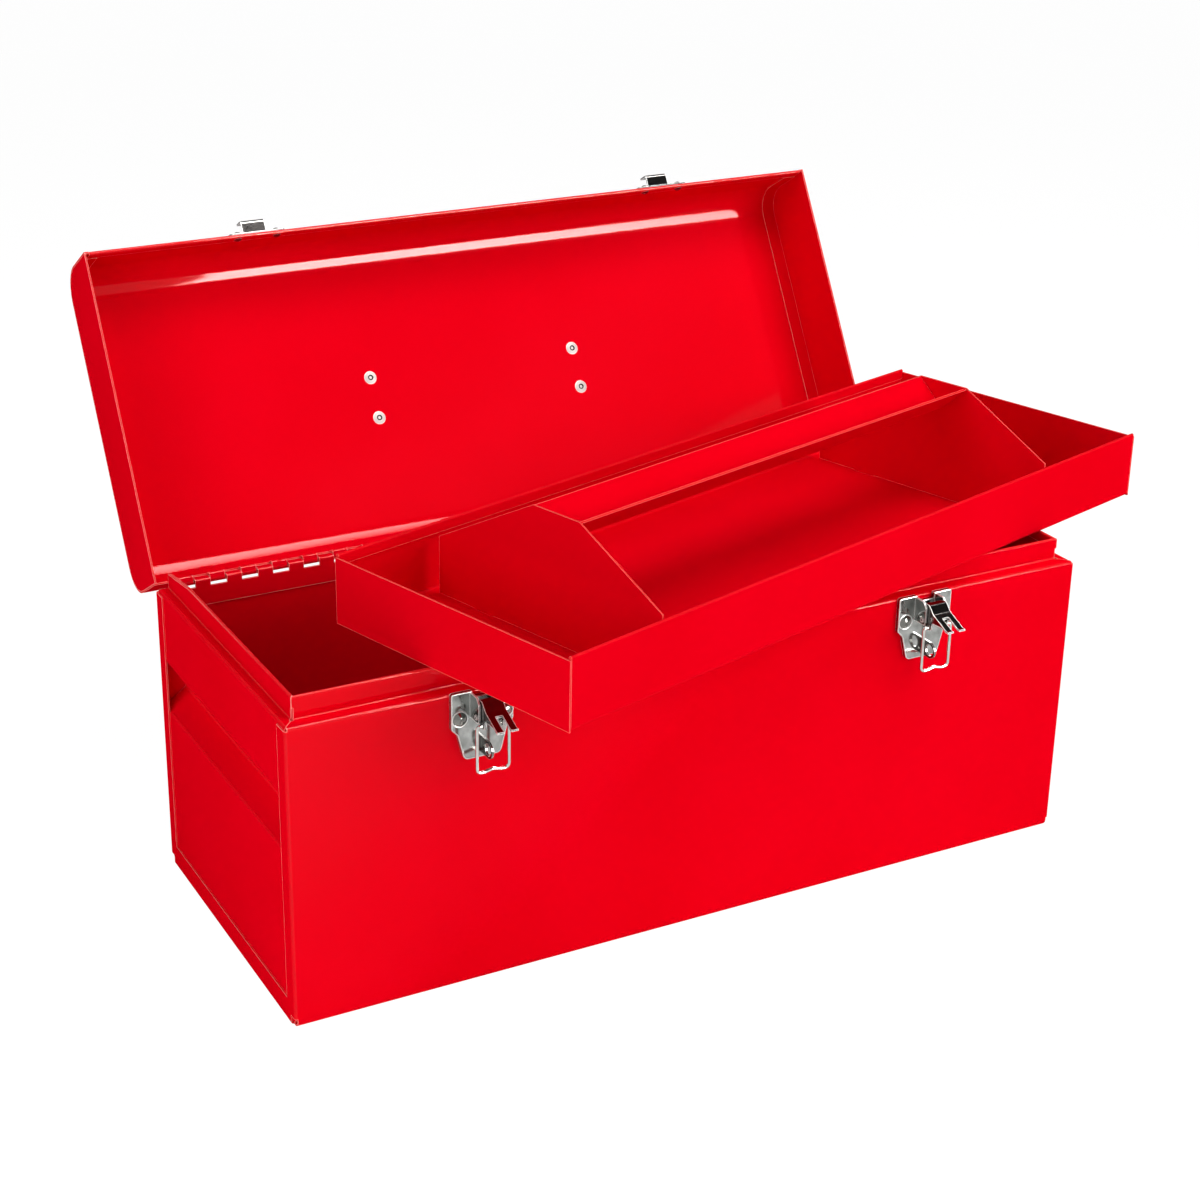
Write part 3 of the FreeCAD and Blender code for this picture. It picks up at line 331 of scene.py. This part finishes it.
@dataclass(frozen=True)
class MouldedGrip:
    """Black moulded PVC.

    Moulded soft plastic: a grey-black, paler where hands rub it, with a fine spark-eroded grain
    that spreads its sheen. A real grain is about 0.2 mm, so it is made coarser here.
    """

    name: str = "moulded_pvc"
    body: str = "#161617"
    rubbed: str = "#242425"
    rough: float = 0.52
    rub_mm: float = 12.0
    grain_mm: float = 0.5
    grain_height_mm: float = 0.1
    grain_strength: float = 0.25

    def material(self) -> bpy.types.Material:
        """Build the grip's node tree and return its material."""
        material, tree, output = new_material(self.name)
        place = add(tree, "ShaderNodeTexCoord").outputs["Object"]
        rub = add(tree, "ShaderNodeTexNoise",
                  {"Vector": place, "Scale": 1 / (self.rub_mm * MM), "Detail": FINE})
        colour = add(tree, "ShaderNodeMix",
                     {SHARE: rub.outputs["Fac"], COLOUR_A: linear(self.body),
                      COLOUR_B: linear(self.rubbed)}, data_type="RGBA")
        grain = add(tree, "ShaderNodeTexVoronoi",
                    {"Vector": place, "Scale": 1 / (self.grain_mm * MM)})
        bump = add(tree, "ShaderNodeBump",
                   {"Height": grain.outputs["Distance"], "Strength": self.grain_strength,
                    "Distance": self.grain_height_mm * MM})
        skin = add(tree, "ShaderNodeBsdfPrincipled",
                   {"Base Color": colour.outputs[COLOUR_OUT], "Roughness": self.rough,
                    "Normal": bump.outputs["Normal"]})
        tree.links.new(skin.outputs["BSDF"], output.inputs["Surface"])
        return material


def ring_mesh(name: str, points: np.ndarray, material: bpy.types.Material) -> bpy.types.Object:
    """Turn a grid of points that closes both ways into a piece.

    Each cell of the grid is one four-sided face, and its rows and columns wrap round.

    Args:
        name: Name of the piece.
        points: Rows by columns by three, in metres.
        material: Finish of the piece.

    Returns:
        The new object, which sits at the origin.
    """
    index = np.arange(points.shape[0] * points.shape[1]).reshape(points.shape[:2])
    below = np.roll(index, -1, axis=0)
    beside, across = np.roll(index, -1, axis=1), np.roll(below, -1, axis=1)
    faces = np.stack([index, below, across, beside], axis=-1)
    mesh = bpy.data.meshes.new(name)
    mesh.from_pydata(points.reshape(-1, 3).tolist(), [], faces.reshape(-1, 4).tolist())
    mesh.shade_smooth()
    mesh.materials.append(material)
    piece = bpy.data.objects.new(name, mesh)
    bpy.context.scene.collection.objects.link(piece)
    return piece


@dataclass(frozen=True)
class Finishes:
    """The made materials that the sub-assemblies wear."""

    enamel: bpy.types.Material
    tray: bpy.types.Material
    zinc: bpy.types.Material
    lever: bpy.types.Material
    eye: bpy.types.Material
    wire: bpy.types.Material
    rivet: bpy.types.Material
    aluminium: bpy.types.Material
    grip: bpy.types.Material


@dataclass
class Assembly:
    """Pieces that belong together, and the finishes they wear."""

    nodes: dict[str, bpy.types.Object]
    finishes: Finishes

    def wear(self, material: bpy.types.Material, *names: str) -> None:
        """Give solids a finish in place of their plain one.

        Args:
            material: Finish that they take.
            names: Names of the solids.
        """
        for name in names:
            mesh = self.nodes[name].data
            mesh.materials.clear()
            mesh.materials.append(material)
            LOG.info("%s wears %s", name, material.name)


@dataclass
class Box(Assembly):
    """The folded box: shell and end panels."""

    def build(self) -> None:
        """Enamel the shell and its ends."""
        self.wear(self.finishes.enamel, "body_shell")
        for side in Side:
            self.wear(self.finishes.enamel, f"end_panel_{side.value}")


@dataclass
class Lid(Assembly):
    """The lid: shell and ends."""

    def build(self) -> None:
        """Enamel the shell and its ends."""
        self.wear(self.finishes.enamel, "lid_shell")
        for side in Side:
            self.wear(self.finishes.enamel, f"lid_end_{side.value}")


@dataclass
class Hinge(Assembly):
    """The long hinge along the back edge: two leaves and a pin."""

    def build(self) -> None:
        """Enamel the leaves with the box, and leave the pin bright."""
        self.wear(self.finishes.enamel, "hinge_leaf_body", "hinge_leaf_lid")
        self.wear(self.finishes.rivet, "hinge_pin")


@dataclass
class Tray(Assembly):
    """The lift-out tray: pan, end walls, dividers and rail."""

    def build(self) -> None:
        """Enamel every piece of the tray."""
        self.wear(self.finishes.tray, "tray_pan", "tray_rail")
        for side in Side:
            self.wear(self.finishes.tray, f"tray_end_{side.value}", f"tray_divider_{side.value}")


@dataclass
class Latch(Assembly):
    """One draw latch: base, padlock eye, pin, lever, wire bail and the keeper on the lid.

    Sizes are in millimetres. A pressed rim stands round each rivet of the base.
    """

    side: Side = Side.LEFT
    rivet_apart: float = 26.8
    rivet_height: float = 165.5
    plate_front: float = -104.8
    rim_radius: float = 4.45
    rim_round: float = 0.38
    rim_steps: tuple[int, int] = (64, 16)

    def build(self) -> None:
        """Plate every piece of the latch and press its rims."""
        side = self.side.value
        self.wear(self.finishes.zinc, f"latch_base_{side}", f"latch_pivot_pin_{side}")
        self.wear(self.finishes.wire, f"latch_bail_{side}")
        self.wear(self.finishes.lever, f"latch_lever_{side}", f"keeper_{side}")
        self.wear(self.finishes.eye, f"latch_staple_{side}")
        low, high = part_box(f"latch_base_{side}")
        middle = (low[0] + high[0]) / 2
        for place, step in ((Side.LEFT, -0.5), (Side.RIGHT, 0.5)):
            across = middle + step * self.rivet_apart * MM
            rim = self.rim(f"latch_{side}_rim_{place.value}", across)
            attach(rim, "box")
            LOG.info("%s stands round its rivet", rim.name)

    def rim(self, name: str, across: float) -> bpy.types.Object:
        """Press the rim round one rivet.

        A half-sunk ring: a small circle of the rim's round, drawn at angle v in the plane through
        the rivet's axis, is carried at angle u round that axis at the rim's radius.

        Args:
            name: Name of the rim.
            across: Place of the rivet along the box, in metres.

        Returns:
            The rim.
        """
        turns, section = self.rim_steps
        u = np.linspace(0, 2 * math.pi, turns, endpoint=False)[:, None]
        v = np.linspace(0, 2 * math.pi, section, endpoint=False)[None, :]
        out = (self.rim_radius + self.rim_round * np.cos(v)) * MM
        rise = np.broadcast_to(self.rim_round * np.sin(v) * MM, (turns, section))
        points = np.stack([across + out * np.cos(u), self.plate_front * MM - rise,
                           self.rivet_height * MM + out * np.sin(u)], axis=-1)
        return ring_mesh(name, points, self.finishes.zinc)


@dataclass
class Rivets(Assembly):
    """The rivets of latches, keepers and handle brackets."""

    def build(self) -> None:
        """Plate the rivets."""
        self.wear(self.finishes.rivet, "latch_rivets", "keeper_rivets")
        self.wear(self.finishes.aluminium, "handle_rivets")


@dataclass
class Handle(Assembly):
    """The carry handle on the lid: brackets, bow and grip."""

    def build(self) -> None:
        """Plate the brackets and the bow, and mould the grip."""
        for side in Side:
            self.wear(self.finishes.zinc, f"handle_bracket_{side.value}")
        self.wear(self.finishes.zinc, "handle_bail")
        self.wear(self.finishes.grip, "handle_grip")


@dataclass
class SoftBox:
    """One soft studio lamp: where it stands, what it faces, its size, radiance and use.

    Body lamps set how bright the colours are. Gloss lamps are seen only as pale stripes on bends.
    """

    name: str
    place: tuple[float, float, float]
    target: tuple[float, float, float]
    size: tuple[float, float]
    radiance: float
    use: Ray

    def build(self) -> None:
        """Make the lamp, whose power is pi times its area times its radiance."""
        data = bpy.data.lights.new(self.name, "AREA")
        data.shape = "RECTANGLE"
        data.size, data.size_y = self.size
        data.energy = math.pi * self.size[0] * self.size[1] * self.radiance
        lamp = bpy.data.objects.new(self.name, data)
        lamp.location = self.place
        aim = Vector(self.target) - Vector(self.place)
        lamp.rotation_euler = aim.to_track_quat("-Z", "Y").to_euler()
        lamp.visible_camera = False
        lamp.visible_diffuse = self.use is Ray.BODY
        lamp.visible_glossy = self.use is Ray.GLOSS
        bpy.context.scene.collection.objects.link(lamp)


@dataclass
class Flag:
    """One black studio flag, which darkens what gloss and metal mirror and is not seen itself."""

    name: str
    place: tuple[float, float, float]
    target: tuple[float, float, float]
    size: tuple[float, float]
    velvet: str = "#0A0A0A"

    def build(self) -> None:
        """Make the flag: a flat sheet, its corners half the size either way from its place."""
        aim = Vector(self.target) - Vector(self.place)
        turn = np.array(aim.to_track_quat("-Z", "Y").to_matrix())
        spread = np.array([(-1, -1, 0), (1, -1, 0), (1, 1, 0), (-1, 1, 0)]) * (*self.size, 0) / 2
        corners = spread @ turn.T + self.place
        mesh = bpy.data.meshes.new(self.name)
        mesh.from_pydata(corners.tolist(), [], [(0, 1, 2, 3)])
        card = bpy.data.objects.new(self.name, mesh)
        bpy.context.scene.collection.objects.link(card)
        card.visible_camera = card.visible_diffuse = card.visible_shadow = False
        material, tree, output = new_material(f"black_velvet_{self.name}")
        cloth = add(tree, "ShaderNodeBsdfDiffuse", {"Color": linear(self.velvet)})
        tree.links.new(cloth.outputs[0], output.inputs["Surface"])
        mesh.materials.append(material)


@dataclass
class Studio:
    """Camera, lamps, flags, white surroundings and floor.

    The camera's place and lens come from a fit to the photograph, in its own pixels. Lamps and
    flags are placed in metres.
    """

    azimuth: float = -26.646
    elevation: float = 22.094
    roll: float = 0.123
    right_mm: float = -68.099
    up_mm: float = 180.532
    back_mm: float = 1409.915
    focus_px: float = 2269.574
    centre_px: tuple[float, float] = (506.337, 551.43)
    sky: float = 0.02
    floor_radius: float = 6.0
    floor_spokes: int = 96
    floor_paint: str = "#FCFCFC"
    fade_from: float = 1.5
    floor_white: float = 1.1
    shadow_share: float = 0.12
    lamps: list[SoftBox] = field(default_factory=lambda: [
        SoftBox("front_right", (1.0, -1.3, 1.05), (0.0, 0.05, 0.25), (0.9, 0.9), 8.0,
                Ray.BODY),
        SoftBox("front_left", (-1.3, -0.9, 0.5), (-0.1, 0.05, 0.2), (0.9, 0.7), 4.3,
                Ray.BODY),
        SoftBox("left", (-1.5, -0.1, 1.3), (-0.25, 0.0, 0.15), (0.9, 0.6), 5.6, Ray.BODY),
        SoftBox("top", (0.3, -0.5, 1.9), (0.0, 0.05, 0.25), (0.9, 0.9), 6.4, Ray.BODY),
        SoftBox("front_sheen", (0.95, -1.5, 0.59), (0.0, 0.1, 0.59), (1.06, 1.08), 60.0,
                Ray.GLOSS),
        SoftBox("top_sheen", (0.3, -0.28, 1.66), (0.0, 0.1, 0.15), (1.2, 0.95), 27.0,
                Ray.GLOSS),
    ])
    flags: list[Flag] = field(default_factory=lambda: [
        Flag("back_flag", (0.0, 0.75, 1.3), (0.0, 0.0, 0.25), (3.4, 1.6)),
        Flag("front_flag", (0.7, -1.0, 1.5), (0.0, 0.2, 0.25), (1.9, 0.85)),
    ])

    def build(self) -> None:
        """Set up the camera, the lamps, the world, the floor and the flags."""
        self.camera()
        for lamp in self.lamps:
            lamp.build()
        self.world()
        self.floor()
        for flag in self.flags:
            flag.build()
        bpy.context.scene.view_settings.view_transform = "Standard"

    def camera(self) -> None:
        """Stand the camera where the photograph was taken from."""
        turn, rise, tilt = np.radians([self.azimuth, self.elevation, self.roll])
        back = np.array([math.sin(turn) * math.cos(rise), -math.cos(turn) * math.cos(rise),
                         math.sin(rise)])
        level = np.array([math.cos(turn), math.sin(turn), 0.0])
        over = np.cross(back, level)
        right = math.cos(tilt) * level + math.sin(tilt) * over
        up = math.cos(tilt) * over - math.sin(tilt) * level
        place = (right * self.right_mm + up * self.up_mm + back * self.back_mm) * MM
        data = bpy.data.cameras.new("photo_camera")
        data.sensor_width = SENSOR
        data.lens = self.focus_px / PHOTO_SIDE * SENSOR
        data.shift_x = 0.5 - self.centre_px[0] / PHOTO_SIDE
        data.shift_y = self.centre_px[1] / PHOTO_SIDE - 0.5
        camera = bpy.data.objects.new("photo_camera", data)
        stand = np.eye(4)
        stand[:3, :] = np.stack([right, up, back, place], axis=1)
        camera.matrix_world = Matrix(stand.tolist())
        bpy.context.scene.collection.objects.link(camera)
        bpy.context.scene.camera = camera

    def seen(self, tree: bpy.types.NodeTree) -> bpy.types.NodeSocket:
        """Tell the rays that look at the surroundings from those that gather their light.

        Args:
            tree: Node tree that takes the nodes.

        Returns:
            Socket that is one for camera, glossy and transmission rays.
        """
        path = add(tree, "ShaderNodeLightPath").outputs
        looks = add(tree, "ShaderNodeMath", {0: path["Is Camera Ray"], 1: path["Is Glossy Ray"]},
                    operation="MAXIMUM")
        return add(tree, "ShaderNodeMath", {0: looks.outputs[0], 1: path["Is Transmission Ray"]},
                   operation="MAXIMUM").outputs[0]

    def world(self) -> None:
        """Surround the part with white that is seen and mirrored but gives hardly any light."""
        world = bpy.data.worlds.new("studio_white")
        world.use_nodes = True
        tree = world.node_tree
        tree.nodes.clear()
        soft = add(tree, "ShaderNodeBackground", {"Color": linear(WHITE), "Strength": self.sky})
        white = add(tree, "ShaderNodeBackground", {"Color": linear(WHITE), "Strength": 1.0})
        mix = add(tree, "ShaderNodeMixShader",
                  {0: self.seen(tree), 1: soft.outputs[0], 2: white.outputs[0]})
        add(tree, "ShaderNodeOutputWorld", {"Surface": mix.outputs[0]})
        bpy.context.scene.world = world

    def floor(self) -> None:
        """Lay the pale floor: a flat disc, points at one radius round a circle, z = 0.

        It is seen mostly white, with a share of its lit colour that keeps the shadow, and fades
        into the white surroundings far out.
        """
        spokes = self.floor_spokes
        angle = np.linspace(0, 2 * math.pi, spokes, endpoint=False)
        circle = np.stack([np.cos(angle), np.sin(angle), np.zeros(spokes)], 1) * self.floor_radius
        mesh = bpy.data.meshes.new("floor")
        mesh.from_pydata(circle.tolist(), [], [list(range(spokes))])
        disc = bpy.data.objects.new("floor", mesh)
        bpy.context.scene.collection.objects.link(disc)
        material, tree, output = new_material("pale_floor")
        place = add(tree, "ShaderNodeTexCoord").outputs["Object"]
        reach = add(tree, "ShaderNodeVectorMath", {0: place}, operation="LENGTH")
        fade = add(tree, "ShaderNodeMapRange",
                   {"Value": reach.outputs["Value"], "From Min": self.fade_from,
                    "From Max": self.floor_radius}, interpolation_type="SMOOTHSTEP")
        matt = add(tree, "ShaderNodeBsdfDiffuse", {"Color": linear(self.floor_paint)})
        white = add(tree, "ShaderNodeEmission",
                    {"Color": linear(WHITE), "Strength": self.floor_white})
        share = add(tree, "ShaderNodeMath", {0: self.seen(tree), 1: 1 - self.shadow_share},
                    operation="MULTIPLY")
        pale = add(tree, "ShaderNodeMixShader",
                   {0: share.outputs[0], 1: matt.outputs[0], 2: white.outputs[0]})
        clear = add(tree, "ShaderNodeBsdfTransparent")
        mix = add(tree, "ShaderNodeMixShader",
                  {0: fade.outputs["Result"], 1: pale.outputs[0], 2: clear.outputs[0]})
        tree.links.new(mix.outputs[0], output.inputs["Surface"])
        mesh.materials.append(material)


def make_finishes() -> Finishes:
    """Make every finish, and return them."""
    return Finishes(
        enamel=Enamel().material(),
        # The tray's own coat: as red, with its painted fold highlights fainter than those of the
        # box.
        tray=Enamel(name="stoved_tray_enamel", edge="#FF7A70", edge_mm=0.45).material(),
        zinc=ZincPlate().material(),
        # Painted dark, a painted reflection of dark surroundings, with white painted edge
        # highlights.
        lever=ZincPlate(name="zinc_plate_painted_dark", bright="#7C7876", dark="#363331",
                        edge_mm=0.6).material(),
        # Dark flats with a thin grey outline, the outline a painted edge highlight.
        eye=ZincPlate(name="dark_zinc_plate", bright="#7C7A78", dark="#3A3836", edge="#C4C4C0",
                      edge_mm=0.25).material(),
        # Drawn smooth: a pale wire that mirrors in long bright lines.
        wire=ZincPlate(name="drawn_zinc_wire", bright="#DEDEDA", dark="#9C9C97",
                       edge_mm=0.2).material(),
        # Headed by a hammer: a mid grey dome with a soft rim painted a little paler, a painted
        # highlight.
        rivet=ZincPlate(name="plated_rivet_steel", bright="#94948F", dark="#484845",
                        edge="#B4B4B0", edge_mm=0.2).material(),
        # Bare and weathered: a chalky oxide that hides the metal, with its bore painted dark as
        # painted shade, and pale painted edge highlights.
        aluminium=ZincPlate(name="oxidised_aluminium", bright="#BDB7B0", dark="#9C9690",
                            edge="#CFC9C1", edge_mm=0.3, metal=0.05, edge_metal=0.05, smooth=0.6,
                            hazy=0.7, hollow_mm=2.5).material(),
        grip=MouldedGrip().material(),
    )


def main() -> None:
    """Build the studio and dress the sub-assemblies."""
    logging.basicConfig(level=logging.INFO)
    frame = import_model()
    Studio().build()
    finishes = make_finishes()
    nodes = frame["nodes"]
    Box(nodes, finishes).build()
    Lid(nodes, finishes).build()
    Hinge(nodes, finishes).build()
    Tray(nodes, finishes).build()
    for side in Side:
        Latch(nodes, finishes, side).build()
    Rivets(nodes, finishes).build()
    Handle(nodes, finishes).build()


if __name__ == "__main__":
    main()
